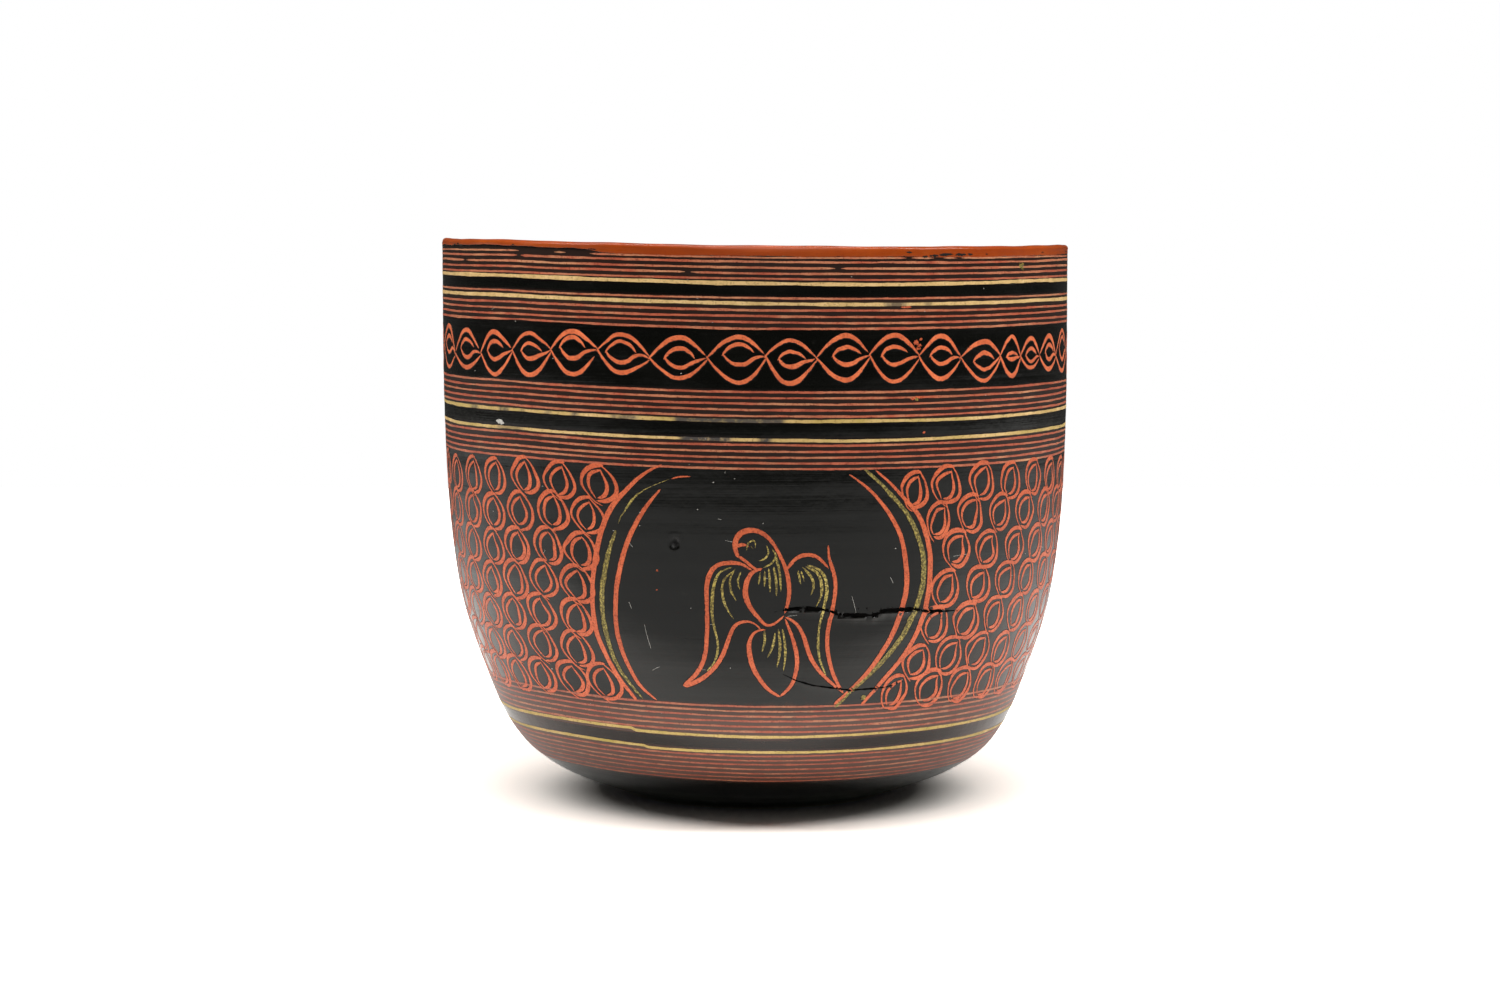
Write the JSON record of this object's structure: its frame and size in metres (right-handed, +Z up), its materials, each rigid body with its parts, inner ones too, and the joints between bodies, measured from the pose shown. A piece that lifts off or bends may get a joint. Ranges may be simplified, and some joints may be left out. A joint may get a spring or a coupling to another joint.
{
  "type": "lacquerware bowl",
  "caption": "Deep round-bottomed lacquer bowl on a coiled bamboo core, black outside with engraved coloured line bands and bird panels, red lining and lip.",
  "frame": {"origin": "middle of the flat that the bowl stands on", "axes": "+Z up along the bowl's axis; -Y is the side with the bird panel"},
  "size_m": [0.15, 0.15, 0.1328],
  "materials": {
    "black_lacquer": "black tree lacquer over a hard putty ground, polished, with fine scratches and dull wear; engraved lines are filled with orange-red and ochre-yellow pigment",
    "red_lacquer": "orange-red cinnabar-coloured lacquer, satin to glossy, hand brushed, worn darker along the rim",
    "bamboo": "dry split bamboo, lengthwise fibres, unpolished"
  },
  "bodies": {
    "root": {"black_lacquer_shell": "black_lacquer", "red_lacquer_lining": "red_lacquer", "rim_hoop": "bamboo", "coil_start_disc": "bamboo", "bamboo_splint_01": "bamboo", "bamboo_splint_02": "bamboo", "bamboo_splint_03": "bamboo", "bamboo_splint_04": "bamboo", "bamboo_splint_05": "bamboo", "bamboo_splint_06": "bamboo", "bamboo_splint_07": "bamboo", "bamboo_splint_08": "bamboo", "bamboo_splint_09": "bamboo", "bamboo_splint_10": "bamboo", "bamboo_splint_11": "bamboo", "bamboo_splint_12": "bamboo"}
  },
  "joints": []
}
